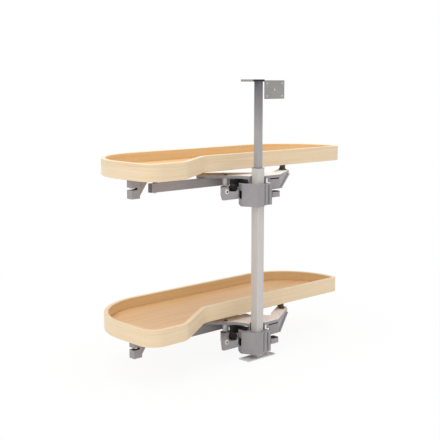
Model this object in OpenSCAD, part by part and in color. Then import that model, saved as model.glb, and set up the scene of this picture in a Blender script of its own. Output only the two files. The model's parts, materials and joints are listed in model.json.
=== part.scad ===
// Swing-out corner fitting: a telescopic square post with two wing-shaped trays.
// Each tray turns about the post on a hub that is clamped to the outer tube.
// Origin: post axis on the cabinet floor. X runs along the straight front edge
// of the trays to the right, Y from the post towards the trays, Z up. Rest: closed.

/* [Heights] */
// underside of the lower tray above the cabinet floor
lower_tray_z = 111; // [105:1:220]
// underside of the upper tray above the cabinet floor
upper_tray_z = 524; // [400:1:524]
// top of the outer tube
outer_tube_top = 531; // [450:1:600]
// top face of the top plate with the inner tube at its middle setting
top_plate_top = 769.5; // [700:0.5:820]

/* [Tray outline, from the post axis] */
// reach of the tray to the right
tray_right = 427.5; // [380:0.5:480]
// reach of the tray to the left
tray_left = 407.5; // [360:0.5:460]
// straight front edge behind the post
tray_front = 62; // [55:0.5:80]
// back edge behind the post
tray_back = 297; // [270:0.5:330]
// front of the wide left lobe, in front of the post
lobe_front = -35.5; // [-60:0.5:0]
// radius of the round right end
right_end_r = 184; // [150:1:200]
// radius of the back left corner
back_left_r = 203; // [150:1:220]
// radius of the front left corner of the lobe
lobe_corner_r = 46; // [25:1:60]
// radius of the pointed front right corner
front_right_r = 15; // [13:0.5:25]
// radius of both bends of the front edge
bend_r = 61.6; // [40:0.2:70]
// slope of the front edge between the two bends
bend_angle = 33; // [25:1:45]
// where the lobe front starts to bend, left of the post
bend_start_x = -308.3; // [-330:0.1:-280]

/* [Tray build] */
// height of the bent plywood rim
rim_h = 44; // [35:1:60]
// thickness of the rim
rim_t = 12; // [9:0.5:12.5]
// thickness of the floor board, flush with the bottom of the rim
floor_t = 16; // [12:1:19]
// gap between the floor board and the rim
floor_fit = 0.3; // [0.1:0.1:0.6]

/* [Post] */
// width over the flats of the outer tube
outer_tube_w = 25.4; // [24:0.1:28]
// width over the flats of the inner tube
inner_tube_w = 17.5; // [15:0.1:19]
// wall of both tubes
tube_wall = 1.5; // [1.2:0.1:2]
// length of the inner tube
inner_tube_l = 430; // [380:5:460]
// base plate along X, along Y and thick
base_w = 108; // [90:1:130]
base_d = 38; // [32:1:60]
base_t = 3; // [2:0.5:4]
// middle of the base plate behind the post axis
base_mid_y = -2; // [-4:0.5:4]
// base screw holes: distance apart and diameter
base_hole_gap = 66; // [60:1:84]
base_hole_d = 5; // [4:0.5:6]

/* [Top fixing] */
// top plate along X, along Y and thick
top_w = 44; // [36:1:60]
top_d = 47; // [40:1:60]
top_t = 6; // [4:0.5:8]
// left edge and front edge of the top plate
top_left = -33; // [-36:1:-20]
top_front = -12; // [-16:1:-10]
// upright plate wide, high and thick
side_plate_w = 76; // [70:1:90]
side_plate_h = 50; // [44:1:60]
side_plate_t = 3; // [2:0.5:4]
// drop of the upright plate below the face of the top plate
side_plate_drop = 2.5; // [1:0.5:4]
// its corner holes: spacing across, spacing down, diameter
side_hole_x = 58.5; // [50:0.5:64]
side_hole_z = 33.5; // [28:0.5:38]
side_hole_d = 4.5; // [4:0.5:6]

/* [Hub] */
// hub block: left, right, front and back faces
hub_left = -28; // [-32:0.5:-25]
hub_right = 29; // [26:0.5:32]
hub_front = -26; // [-30:0.5:-22]
hub_back = 46; // [40:1:48]
// cheek on the left of the hub: its outermost corner and the corner behind it
cheek_x = -48; // [-52:0.5:-44]
cheek_y = 13; // [10:0.5:16]
cheek_back_x = -43; // [-45:0.5:-40]
cheek_back_y = 31; // [29:0.5:33]
// top, bottom and bottom of the ribbed right part of the hub below the tray
hub_top = 35; // [34:0.5:40]
hub_bottom = 95.5; // [84:0.5:98]
rib_bottom = 92.5; // [82:0.5:95]
// slot in the cheek: distance from its corner, width, depth, top and bottom
slot_start = 2; // [1:0.5:4]
slot_w = 11; // [6:0.5:13]
slot_depth = 12; // [6:0.5:14]
slot_top = 53; // [46:1:56]
slot_bottom = 75; // [68:1:80]
// chamfer along the lower back edge
hub_chamfer = 5; // [2:0.5:8]
// stop block: reach to the right, front face, top and bottom below the tray
stop_right = 51; // [46:1:56]
stop_front = -34; // [-36:1:-30]
stop_top = 58; // [57:0.5:60]
stop_bottom = 72.5; // [68:0.5:72.5]
// depth of the stop block along Y
stop_d = 20; // [14:1:22]
// thickness of the rubber on the stop block
bumper_t = 2; // [1:0.5:2.5]
// gap each side between the outer tube and the square bore
tube_fit = 0.1; // [0.05:0.05:0.3]
// radius of the round spigot that carries the turning collar
spigot_r = 19.2; // [18.6:0.1:20]
// radial running fit of the collar
running_fit = 0.05; // [0.02:0.01:0.1]
// how deep the collar sits in the round recess of the hub, and the gap around it
recess_depth = 5; // [4.5:0.1:6]
recess_gap = 0.4; // [0.3:0.1:0.6]
// thickness of the washer under the collar
washer_t = 0.8; // [0.5:0.1:1.5]

/* [Soft close] */
// housing: left face, front face, back face
housing_left = -115; // [-120:1:-112]
housing_front = 12; // [10:1:14]
housing_back = 92; // [90:1:96]
// top, lowered front top and bottom of the housing below the tray
housing_top = 45.5; // [45:0.5:48]
housing_step = 52; // [50:0.5:54]
housing_bottom = 73; // [68:1:80]
// where the lowered front ends
step_back = 30; // [28:1:32]
// front corner on the right and back corner on the left
housing_front_right = -62; // [-64:1:-58]
housing_left_back = 22; // [18:1:26]
// how far the housing reaches behind the hub
housing_seat_l = 20; // [14:1:24]
// ear at the left: width, depth and top below the tray
ear_w = 17; // [15:0.5:19]
ear_d = 10; // [8:0.5:14]
ear_top = 43; // [40:0.5:44]
// round damper, its axis along Y: place, diameter and length
damper_x = -72; // [-74:0.5:-72]
damper_drop = 42.6; // [42:0.2:44]
damper_d = 19; // [18:0.5:19.5]
damper_l = 16.5; // [12:0.5:17]
// screw in the ear: drop below the tray, head diameter and height, socket
ear_screw_drop = 50.5; // [49:0.5:53]
ear_screw_head_d = 13; // [10:0.5:14]
ear_screw_head_h = 2.5; // [2:0.5:4]
ear_screw_socket_d = 5; // [3:0.5:6]
// black block behind the hub, on the housing: left face, depth and top
block_left = -50; // [-54:1:-44]
block_d = 14; // [10:1:16]
block_top = 24.5; // [24:0.5:26]
// its tongue on top of the hub: width and front face
tongue_w = 8; // [5:0.5:8]
tongue_front = 18; // [18:1:24]
// plunger: width, height and length
plunger_w = 11; // [8:0.5:11.4]
plunger_h = 12; // [8:0.5:13]
plunger_l = 12; // [8:0.5:13]

/* [Carrier] */
// top of the carrier plate below the tray
plate_drop = 15; // [12:0.5:18]
// thickness of the plate
plate_t = 3; // [2:0.5:4]
// depth of the turned-down edge, from the top of the plate
skirt_h = 8; // [6:0.5:8.5]
// thickness of the turned-down edge
skirt_t = 2.5; // [2:0.5:3.5]
// collar wall: inner and outer radius
collar_r_in = 20.5; // [20:0.1:21]
collar_r_out = 23; // [22.5:0.1:23.4]
// thickness of the ring under the collar wall
ring_t = 4; // [3:0.1:4.5]
// catch pin: place, diameter, bottom of the wide part and of the tip
pin_x = -45; // [-48:0.5:-42]
pin_y = 80; // [78:0.5:84]
pin_d = 18.4; // [14:0.2:20]
pin_bottom = 44.5; // [40:0.5:45]
tip_d = 8; // [6:0.5:9]
tip_bottom = 56; // [52:0.5:58]
// right gusset: bottom below the tray, flange width, sheet
gusset_bottom = 54.5; // [48:0.5:55]
gusset_flange = 5; // [3:0.5:12]
gusset_t = 2.5; // [2:0.5:3]
// distance from the end of the gusset to the end of the wing
gusset_end_gap = 12; // [4:1:20]
// rubber strip in the top of the gusset: distance from its ends, length, height
strip_start = 6; // [4:1:10]
strip_l = 38; // [30:1:40]
strip_h = 3.5; // [2:0.5:5]
// rail: left end, right end, front face, width, height, wall
rail_left = -284; // [-300:1:-260]
rail_right = 75; // [40:1:90]
rail_front = 108; // [106:1:114]
rail_w = 14; // [12:1:18]
rail_h = 24; // [20:0.5:28]
rail_wall = 1.5; // [1.2:0.1:2]
// plug in each end of the rail: length and gap to the wall
plug_l = 8; // [6:1:14]
plug_fit = 0.2; // [0.1:0.1:0.4]
// bracket under the lobe: left face, front face, size along X and Y, height
lobe_left = -384; // [-392:1:-370]
lobe_bracket_y = 64; // [50:1:90]
lobe_jaw_w = 26; // [22:1:32]
lobe_bracket_d = 20; // [14:1:26]
lobe_bracket_h = 51; // [46:1:56]
// its slot: top below the tray, height, depth
lobe_slot_z = 22.5; // [18:0.5:26]
lobe_slot_h = 6; // [5:0.5:8]
lobe_slot_l = 18; // [14:1:20]
// its rib: reach to the right along the tray and thickness
lobe_rib_l = 38; // [24:1:50]
lobe_rib_t = 8; // [5:1:12]

/* [Carrier outline, from the post axis] */
// front edge of the right wing: where it starts, its place along Y, where it turns back
neck_right_x = 31; // [28:1:36]
wing_front = -9; // [-12:0.5:-6]
wing_turn_x = 78; // [70:1:90]
// end of the right wing: front corner, side and back corner
wing_end_x = 190; // [180:1:196]
wing_end_y = 60; // [54:1:64]
wing_right = 200; // [196:1:206]
wing_side_y = 76; // [72:1:80]
wing_back_y = 104; // [98:1:108]
// back edge of the right wing and the corner between the wings
waist_x = 115; // [105:1:125]
waist_y = 55; // [50:1:58]
fork_x = 92; // [86:1:100]
fork_y = 35; // [30:1:40]
// shoulder behind the post, round the third spacer
shoulder_x = 75; // [72:1:80]
shoulder_y = 62; // [58:1:66]
// left wing: back corner and left corner
left_wing_back_x = -58; // [-62:1:-54]
left_wing_back_y = 181; // [176:1:186]
left_wing_left_x = -112; // [-116:1:-108]
left_wing_left_y = 127; // [122:1:132]
// left side of the neck: behind and beside the collar
neck_back_x = -33; // [-36:1:-30]
neck_back_y = 50; // [48:1:54]
neck_left_x = -23; // [-25:1:-21]
neck_left_y = 26; // [24:1:30]

/* [Fasteners] */
// shank and head diameter and head height of the tray screws
screw_d = 4; // [3.5:0.5:5]
screw_head_d = 8; // [7:0.5:9]
screw_head_h = 2.6; // [2:0.2:3]
// gap around each shank
screw_fit = 0.2; // [0.1:0.05:0.4]
// how deep the tray screws go into the floor board
screw_grip = 10; // [8:1:11]
// outer diameter of the spacers under the tray
spacer_d = 12; // [10:0.5:14]
// diameter and height of the foot of each spacer
spacer_foot_d = 17; // [14:0.5:18]
spacer_foot_h = 4; // [2:0.5:6]
// places of the spacers on the right and on the left wing
right_spacers = [[175, 69], [187, 86]];
left_spacers = [[54, 66], [-66, 160]];
// shank diameter of the clamp screws
clamp_screw_d = 5; // [4:0.5:6]

/* [Hidden] */
step = 6;
cut = 1;
bumper_gap = 0.3;
seat_gap = 0.3;
right_end_y = tray_back - right_end_r;
right_end_x = tray_right - right_end_r;
back_left_x = -tray_left + back_left_r;
back_left_y = tray_back - back_left_r;
lobe_corner_x = -tray_left + lobe_corner_r;
lobe_corner_y = lobe_front + lobe_corner_r;
// the straight run between the bends closes the step from lobe to front edge
front_rise = tray_front - lobe_front;
bend_rise = 2 * bend_r * (1 - cos(bend_angle));
slope_l = (front_rise - bend_rise) / sin(bend_angle);
bend_end_x = bend_start_x + 2 * bend_r * sin(bend_angle) + slope_l * cos(bend_angle);
// the front right corner touches both the front edge and the round end
corner_y = tray_front + front_right_r;
corner_dy = corner_y - right_end_y;
corner_dx = sqrt(pow(right_end_r - front_right_r, 2) - pow(corner_dy, 2));
corner_x = right_end_x + corner_dx;
corner_angle = atan2(corner_dy, corner_dx);
plate_bottom = plate_drop + plate_t;
skirt_bottom = plate_drop + skirt_h;
bore_w = outer_tube_w + 2 * tube_fit;
stop_left = hub_right - 4;
stop_back = stop_front + stop_d;
recess_bottom = hub_top + recess_depth + washer_t;
ring_bottom = recess_bottom - washer_t;
ring_top = ring_bottom - ring_t;
// the collar wall is open on the side away from this direction
collar_open_dir = 47;
// the notch of the carrier plate runs clockwise round the tube between these directions
neck_from = 150;
neck_to = -22;
washer_r_in = spigot_r + running_fit;
// the sloping part of the gusset lies under the front edge of the wing
gusset_dir = atan2(wing_end_y - wing_front, wing_end_x - wing_turn_x);
gusset_l = norm([wing_end_x - wing_turn_x, wing_end_y - wing_front]) - gusset_end_gap;
gusset_end = [wing_turn_x, wing_front] + gusset_l * [cos(gusset_dir), sin(gusset_dir)];
flange_relief = 3;
gusset_back = [-sin(gusset_dir), cos(gusset_dir)] * gusset_t;
gusset_miter = gusset_t * tan(gusset_dir / 2);
gusset_plan = [
  [neck_right_x, wing_front], [wing_turn_x, wing_front], gusset_end,
  gusset_end + gusset_back, [wing_turn_x - gusset_miter, wing_front + gusset_t],
  [neck_right_x, wing_front + gusset_t]
];
// below the hub top nothing that turns comes closer to the post than this
swing_clear_r = norm([hub_right, hub_front]) + 3;
slide_dir = atan2(-pin_x, pin_y);
slide_w = tip_d + 4;
channel_l = 40;
housing_screw_x = housing_left + ear_w / 2;
housing_screw_grip = 12;
plunger_front = -tip_d / 2 - seat_gap;
plunger_top = housing_top + cut;
plunger_back = plunger_front - plunger_l;
rail_top = skirt_bottom;
rail_bottom = rail_top + rail_h;
rail_mid_y = rail_front + rail_w / 2;
rail_screw_x = [-60, -20];
rail_foot_x = rail_left + 16;
spacer_places = concat(right_spacers, left_spacers);
lobe_screw_y = [lobe_bracket_y + 5, lobe_bracket_y + lobe_bracket_d - 5];
lobe_screw_x = lobe_left + 9;
side_plate_left = top_left + top_w + 2;
side_plate_mid_x = side_plate_left + side_plate_w / 2;
side_plate_mid_z = top_plate_top - side_plate_drop - side_plate_h / 2;
inner_tube_top = top_plate_top - top_t;
inner_tube_bottom = inner_tube_top - inner_tube_l;
bush_h = 18;
bush_lip = 1;
bush_fit = 0.1;
guide_h = 25;
clamp_reach = 14;
clamp_screw_drops = [hub_top + clamp_reach, hub_bottom - clamp_reach];
clamp_screw_y = (hub_front - bore_w / 2) / 2;
clamp_slit_x = 1.5;
clamp_slit_w = 3;
// groove between the two ribs on the front face
groove = [14, 17];
groove_depth = 4;
cheek_dir = atan2(cheek_back_y - cheek_y, cheek_back_x - cheek_x);
// the edge between the cheek and the back of the hub
hub_corner_dir = atan2(hub_back - cheek_back_y, hub_left - cheek_back_x);
hub_corner_l = norm([hub_left - cheek_back_x, hub_back - cheek_back_y]);
// rounded rib on the front face
rib_d = 8;
rib_x = hub_right - 6.5;

oak = "#D8BE9A";
board = "#D7B38D";
steel = "#B4B2B0";
zinc = "#999598";
plate_white = "#E6DEDB";
rubber = "#2B2725";
nylon = "#4A4542";

// points of an arc, both ends included
function arc(x, y, r, from, to) =
  let (n = max(1, ceil(abs(to - from) / step)))
  [for (i = [0:n]) let (a = from + (to - from) * i / n) [x + r * cos(a), y + r * sin(a)]];

// tray outline, moved inwards by the given amount
function tray_outline(inset) = concat(
  arc(corner_x, corner_y, front_right_r - inset, -90, corner_angle),
  arc(right_end_x, right_end_y, right_end_r - inset, corner_angle + step, 90),
  arc(back_left_x, back_left_y, back_left_r - inset, 90, 180),
  arc(lobe_corner_x, lobe_corner_y, lobe_corner_r - inset, 180, 270),
  arc(bend_start_x, lobe_front + bend_r, bend_r - inset, 270, 270 + bend_angle),
  arc(bend_end_x, tray_front - bend_r, bend_r + inset, 90 + bend_angle, 90)
);

// corner b of a closed outline a, b, c, moved inwards by d
function inset_corner(a, b, c, d) =
  let (u = (b - a) / norm(b - a), v = (c - b) / norm(c - b))
  let (n = [-u[1] - v[1], u[0] + v[0]])
  b + n * (2 * d / (n * n));

function inset_outline(p, d) =
  [for (i = [0:len(p) - 1])
    inset_corner(p[(i + len(p) - 1) % len(p)], p[i], p[(i + 1) % len(p)], d)];

// the plate is open to the front left round the tube, with one wing to each side
carrier_outline = concat(
  arc(0, 0, collar_r_in, neck_from, neck_to),
  [
    [neck_right_x, wing_front], [wing_turn_x, wing_front], [wing_end_x, wing_end_y],
    [wing_right, wing_side_y], [wing_right, wing_back_y], [waist_x, waist_y],
    [fork_x, fork_y], [shoulder_x, shoulder_y], [left_wing_back_x, left_wing_back_y],
    [left_wing_left_x, left_wing_left_y], [neck_back_x, neck_back_y],
    [neck_left_x, neck_left_y]
  ]
);

hub_outline = [
  [hub_left, hub_front], [hub_right, hub_front], [hub_right, hub_back],
  [hub_left, hub_back], [cheek_back_x, cheek_back_y], [cheek_x, cheek_y]
];

// the housing runs from the ear at the left to its seat on the cheek and back of the hub
housing_outline = [
  [housing_left, housing_front], [housing_front_right, housing_front],
  [cheek_back_x, cheek_back_y], [hub_left, hub_back], [hub_left + housing_seat_l, hub_back],
  [hub_left + housing_seat_l, hub_back + block_d], [pin_x + 12, pin_y + 4],
  [pin_x + 3, housing_back], [pin_x - 9, housing_back], [pin_x - 19, pin_y],
  [housing_left, housing_left_back]
];

// a box given by its two ends along each axis
module span(x, y, z)
  translate([x[0], y[0], z[0]])
    cube([x[1] - x[0], y[1] - y[0], z[1] - z[0]]);

// an upright cylinder between two heights
module rod(d, low, high, sides = 32)
  translate([0, 0, low])
    cylinder(d = d, h = high - low, $fn = sides);

module square_tube(outer, inner, low, high)
  difference() {
    span([-outer / 2, outer / 2], [-outer / 2, outer / 2], [low, high]);
    span([-inner / 2, inner / 2], [-inner / 2, inner / 2], [low - cut, high + cut]);
  }

module at_tray_spacers()
  for (p = spacer_places)
    translate([p[0], p[1], 0])
      children();

// moves its child to the catch pin, with X along the path the pin takes on opening
module at_pin()
  translate([pin_x, pin_y, 0])
    rotate([0, 0, slide_dir])
      children();

// ---- post ----

module base_plate()
  color(steel)
    difference() {
      span([-base_w / 2, base_w / 2], [base_mid_y - base_d / 2, base_mid_y + base_d / 2],
        [0, base_t]);
      for (x = [-base_hole_gap / 2, base_hole_gap / 2])
        translate([x, base_mid_y, 0])
          rod(base_hole_d, -cut, base_t + cut);
    }

module post_outer_tube()
  color(steel)
    square_tube(outer_tube_w, outer_tube_w - 2 * tube_wall, base_t, outer_tube_top);

module post_bush()
  color(nylon) {
    square_tube(outer_tube_w - 2 * tube_wall - 2 * bush_fit, inner_tube_w + 2 * bush_fit,
      outer_tube_top - bush_h, outer_tube_top);
    square_tube(outer_tube_w, inner_tube_w + 2 * bush_fit,
      outer_tube_top, outer_tube_top + bush_lip);
  }

module post_inner_tube()
  color(steel)
    square_tube(inner_tube_w, inner_tube_w - 2 * tube_wall, inner_tube_bottom, inner_tube_top);

// slider plugged into the bottom of the inner tube
module inner_guide()
  color(nylon) {
    guide_w = outer_tube_w - 2 * tube_wall - 2 * seat_gap;
    plug_w = inner_tube_w - 2 * tube_wall - 2 * bush_fit;
    span([-guide_w / 2, guide_w / 2], [-guide_w / 2, guide_w / 2],
      [inner_tube_bottom - guide_h, inner_tube_bottom]);
    span([-plug_w / 2, plug_w / 2], [-plug_w / 2, plug_w / 2],
      [inner_tube_bottom - cut, inner_tube_bottom + guide_h / 2]);
  }

module top_plate()
  color(steel) {
    top_right = top_left + top_w;
    span([top_left, top_right], [top_front, top_front + top_d], [inner_tube_top, top_plate_top]);
    // tab behind the upright plate
    span([top_right - 8, side_plate_left + 14],
      [top_front + side_plate_t, top_front + side_plate_t + 6],
      [inner_tube_top, top_plate_top - side_plate_drop]);
  }

module top_side_plate()
  color(steel)
    difference() {
      span([side_plate_left, side_plate_left + side_plate_w],
        [top_front, top_front + side_plate_t],
        [side_plate_mid_z - side_plate_h / 2, side_plate_mid_z + side_plate_h / 2]);
      for (x = [-side_hole_x / 2, side_hole_x / 2], z = [-side_hole_z / 2, side_hole_z / 2])
        side_hole(x, z);
      side_hole(0, 0);
    }

module side_hole(x, z)
  translate([side_plate_mid_x + x, top_front - cut, side_plate_mid_z + z])
    rotate([-90, 0, 0])
      rod(side_hole_d, 0, side_plate_t + 2 * cut);

// ---- hub, seen from the underside of its tray ----

module hub_shape()
  difference() {
    union() {
      translate([0, 0, -hub_bottom])
        linear_extrude(hub_bottom - hub_top)
          polygon(hub_outline);
      span([stop_left, stop_right], [stop_front, stop_back], [-stop_bottom, -stop_top]);
      translate([rib_x, hub_front, 0])
        rod(rib_d, -rib_bottom, -hub_top);
    }
    // the ribbed part ends higher
    span([clamp_slit_x, hub_right + cut], [hub_front - 4 * cut, -bore_w / 2],
      [-hub_bottom - cut, -rib_bottom]);
    span([-bore_w / 2, bore_w / 2], [-bore_w / 2, bore_w / 2], [-hub_bottom - cut, 0]);
    // round recess about the spigot that the collar turns on
    difference() {
      rod(2 * (collar_r_out + recess_gap), -recess_bottom, 0, 64);
      rod(2 * spigot_r, -recess_bottom - cut, cut, 64);
    }
    // slit that lets the hub be clamped to the tube
    span([clamp_slit_x - clamp_slit_w / 2, clamp_slit_x + clamp_slit_w / 2],
      [hub_front - 2 * cut, -bore_w / 2 + cut], [-hub_bottom - cut, -hub_top + cut]);
    span(groove, [hub_front - cut, hub_front + groove_depth], [-hub_bottom - cut, -hub_top - 3]);
    // slot in the back side of the cheek
    translate([cheek_x, cheek_y, 0])
      rotate([0, 0, cheek_dir])
        span([slot_start, slot_start + slot_w], [-slot_depth, cut], [-slot_bottom, -slot_top]);
    // chamfer along the lower edge behind the cheek
    translate([cheek_back_x, cheek_back_y, -hub_bottom])
      rotate([45, 0, hub_corner_dir])
        span([-hub_corner_l, 2 * hub_corner_l], [-2 * hub_chamfer, 2 * hub_chamfer],
          [-hub_chamfer, hub_chamfer / sqrt(2)]);
    clamp_screw_places()
      rotate([0, 90, 0])
        rod(clamp_screw_d + 2 * screw_fit, -clamp_reach, hub_right);
    clamp_screw_places()
      translate([hub_right - 4, 0, 0])
        rotate([0, 90, 0])
          rod(2 * clamp_screw_d, 0, clamp_reach);
  }

module clamp_screw_places()
  for (drop = clamp_screw_drops)
    translate([0, clamp_screw_y, -drop])
      children();

module clamp_screws_shape()
  clamp_screw_places()
    rotate([0, 90, 0])
      difference() {
        union() {
          rod(clamp_screw_d, -13, hub_right - 4);
          rod(2 * clamp_screw_d - 4 * screw_fit, hub_right - 4, hub_right - 0.5);
        }
        rod(clamp_screw_d * 0.6, hub_right - 3, hub_right + cut, 6);
      }

module stop_bumper_shape()
  span([hub_right + bumper_gap, stop_right], [stop_front, stop_back],
    [-stop_top, -stop_top + bumper_t]);

module washer_shape()
  difference() {
    rod(2 * collar_r_out, -recess_bottom, -ring_bottom, 64);
    rod(2 * washer_r_in, -recess_bottom - cut, -ring_bottom + cut, 64);
  }

// ---- soft close ----

module housing_shape()
  difference() {
    union() {
      translate([0, 0, -housing_bottom])
        linear_extrude(housing_bottom - housing_top)
          polygon(housing_outline);
      span([housing_left, housing_left + ear_w], [housing_front, housing_front + ear_d],
        [-housing_top - cut, -ear_top]);
    }
    // lowered front, to the right of the ear
    span([housing_left + ear_w, housing_front_right + step_back],
      [housing_front - cut, step_back], [-housing_step, 0]);
    // channel of the plunger, open where the pin leaves
    at_pin()
      span([plunger_back - seat_gap, channel_l], [-slide_w / 2, slide_w / 2],
        [-plunger_top - plunger_h - seat_gap, 0]);
    damper_axis()
      rod(damper_d + 2 * seat_gap, 0, damper_l + ear_d, 48);
    ear_screw_axis()
      rod(screw_d + 2 * screw_fit, -housing_screw_grip - cut, cut);
  }

// moves its child to the damper, with Z pointing to the front from the back of its cradle
module damper_axis()
  translate([damper_x, step_back, -damper_drop])
    rotate([90, 0, 0])
      children();

// moves its child to the face of the ear, with Z pointing to the front
module ear_screw_axis()
  translate([housing_screw_x, housing_front, -ear_screw_drop])
    rotate([90, 0, 0])
      children();

module housing_screw_shape()
  ear_screw_axis()
    difference() {
      union() {
        rod(screw_d, -housing_screw_grip, cut);
        rod(ear_screw_head_d, 0, ear_screw_head_h, 48);
      }
      rod(ear_screw_socket_d, ear_screw_head_h - 1.5, ear_screw_head_h + cut, 6);
    }

module damper_shape()
  damper_axis()
    difference() {
      rod(damper_d, 0, damper_l, 48);
      rod(damper_d * 0.4, damper_l - 2, damper_l + cut);
    }

// plastic block that stands on the housing behind the hub, with a tongue on top of the hub
module bearing_block_shape() {
  span([block_left, hub_left + housing_seat_l], [hub_back, hub_back + block_d],
    [-housing_top, -block_top]);
  span([hub_left, hub_left + tongue_w], [tongue_front, hub_back + cut], [-hub_top, -block_top]);
}

module plunger_shape()
  at_pin()
    span([plunger_back, plunger_front], [-plunger_w / 2, plunger_w / 2],
      [-plunger_top - plunger_h, -plunger_top]);

// ---- carrier ----

module carrier_plate_shape()
  difference() {
    union() {
      translate([0, 0, -plate_bottom])
        linear_extrude(plate_t)
          polygon(carrier_outline);
      difference() {
        translate([0, 0, -skirt_bottom])
          linear_extrude(skirt_h - plate_t)
            polygon(carrier_outline);
        translate([0, 0, -skirt_bottom - cut])
          linear_extrude(skirt_h - plate_t + cut)
            polygon(inset_outline(carrier_outline, skirt_t));
        rod(2 * collar_r_out + 1, -skirt_bottom - cut, -plate_bottom, 64);
      }
    }
    at_tray_spacers()
      rod(screw_d + 2 * screw_fit, -skirt_bottom, 0);
    for (x = rail_screw_x)
      translate([x, rail_mid_y, 0])
        rod(screw_d + 2 * screw_fit, -skirt_bottom, 0);
    translate([pin_x, pin_y, 0])
      rod(clamp_screw_d + 2 * screw_fit, -skirt_bottom, 0);
  }

// half-round wall, open to the front left, on a closed ring that turns on the spigot
module turning_collar_shape()
  difference() {
    rod(2 * collar_r_out, -ring_bottom, -plate_bottom, 64);
    rotate([0, 0, collar_open_dir])
      span([-2 * collar_r_out, 0], [-2 * collar_r_out, 2 * collar_r_out], [-ring_top, 0]);
    rod(2 * collar_r_in, -ring_top, 0, 64);
    rod(2 * washer_r_in, -ring_bottom - cut, 0, 64);
  }

// lower edge of the gusset, at a distance along its sloping part
function gusset_z(along) =
  -gusset_bottom + (gusset_bottom - skirt_bottom - gusset_t) * along / gusset_l;

// moves its child to the bend of the gusset, with X along the sloping part and Z to the front
module at_gusset_bend()
  translate([wing_turn_x, wing_front, 0])
    rotate([90, 0, gusset_dir])
      children();

// upright sheet under the front edge of the right wing: a straight part, then a sloping
// part that rises to the end of the wing, with a flange to the front along its lower edge
module gusset_shape()
  difference() {
    union() {
      translate([0, 0, -gusset_bottom])
        linear_extrude(gusset_bottom - skirt_bottom)
          polygon(gusset_plan);
      at_gusset_bend()
        translate([0, 0, -gusset_t / 2])
          linear_extrude(gusset_flange + gusset_t / 2)
            polygon([
              [flange_relief, gusset_z(flange_relief)], [gusset_l, gusset_z(gusset_l)],
              [gusset_l, gusset_z(gusset_l) + gusset_t],
              [flange_relief, gusset_z(flange_relief) + gusset_t]
            ]);
    }
    at_gusset_bend()
      translate([0, 0, -2 * gusset_t])
        linear_extrude(3 * gusset_t)
          polygon([
            [0, gusset_z(0)], [gusset_l + cut, gusset_z(gusset_l + cut)],
            [gusset_l + cut, gusset_z(0) - cut], [0, gusset_z(0) - cut]
          ]);
    // room for the hub to pass
    rod(2 * swing_clear_r, -gusset_bottom - cut, -hub_top + cut, 64);
    span([neck_right_x + strip_start, neck_right_x + strip_start + strip_l],
      [wing_front - cut, wing_front + gusset_t + cut],
      [-skirt_bottom - strip_h, -skirt_bottom + cut]);
  }

module gusset_strip_shape()
  span([neck_right_x + strip_start, neck_right_x + strip_start + strip_l],
    [wing_front, wing_front + gusset_t], [-skirt_bottom - strip_h, -skirt_bottom]);

module catch_pin_shape()
  translate([pin_x, pin_y, 0])
    difference() {
      union() {
        rod(pin_d, -pin_bottom, -plate_bottom, 48);
        rod(tip_d, -tip_bottom, -pin_bottom + cut);
      }
      rod(clamp_screw_d + 2 * screw_fit, -pin_bottom + 8, 0);
    }

module pin_screw_shape()
  translate([pin_x, pin_y, 0]) {
    rod(clamp_screw_d, -pin_bottom + 10, -plate_drop);
    rod(2 * clamp_screw_d, -plate_drop, -plate_drop + screw_head_h);
  }

module rail_shape()
  difference() {
    span([rail_left, rail_right], [rail_front, rail_front + rail_w],
      [-rail_bottom, -rail_top]);
    span([rail_left - cut, rail_right + cut],
      [rail_front + rail_wall, rail_front + rail_w - rail_wall],
      [-rail_bottom + rail_wall, -rail_top - rail_wall]);
    for (x = rail_screw_x)
      translate([x, rail_mid_y, 0])
        rod(screw_d + 2 * screw_fit, -rail_top - rail_wall - cut, 0);
    translate([rail_foot_x, rail_mid_y, 0])
      rod(screw_d + 2 * screw_fit, -rail_bottom - cut, 0);
  }

module rail_plugs_shape()
  for (end = [[rail_left, 1], [rail_right, -1]]) {
    inner = end[0] + end[1] * plug_l;
    outer = end[0] - end[1] * 1.5;
    gap = rail_wall + plug_fit;
    span([min(inner, end[0]), max(inner, end[0])],
      [rail_front + gap, rail_front + rail_w - gap],
      [-rail_bottom + gap, -rail_top - gap]);
    span([min(outer, end[0]), max(outer, end[0])],
      [rail_front, rail_front + rail_w], [-rail_bottom, -rail_top]);
  }

module rail_screws_shape()
  for (x = rail_screw_x)
    translate([x, rail_mid_y, 0]) {
      rod(screw_d, -rail_top - rail_wall - 6, -plate_drop);
      rod(screw_head_d, -plate_drop, -plate_drop + screw_head_h);
    }

module rail_foot_shape()
  translate([rail_foot_x, rail_mid_y, 0])
    difference() {
      rod(spacer_d, -rail_top, 0);
      rod(screw_d + 2 * screw_fit, -rail_top - cut, cut);
    }

module spacers_shape()
  at_tray_spacers()
    difference() {
      union() {
        rod(spacer_d, -plate_drop, 0);
        rod(spacer_foot_d, -plate_drop, -plate_drop + spacer_foot_h);
      }
      rod(screw_d + 2 * screw_fit, -plate_drop - cut, cut);
    }

// every place where a screw goes up into the floor board, with the depth of its head
tray_screw_places = concat(
  [for (p = spacer_places) [p[0], p[1], plate_bottom]],
  [for (y = lobe_screw_y) [lobe_screw_x, y, lobe_slot_z]],
  [[rail_foot_x, rail_mid_y, rail_bottom]]
);

module tray_screws_shape()
  for (p = tray_screw_places)
    translate([p[0], p[1], 0]) {
      rod(screw_d, -p[2], screw_grip);
      rod(screw_head_d, -p[2] - screw_head_h, -p[2]);
    }

// ---- tray ----

module rim_shape()
  difference() {
    linear_extrude(rim_h)
      polygon(tray_outline(0));
    translate([0, 0, -cut])
      linear_extrude(rim_h + 2 * cut)
        polygon(tray_outline(rim_t));
    tray_screw_holes();
  }

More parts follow.
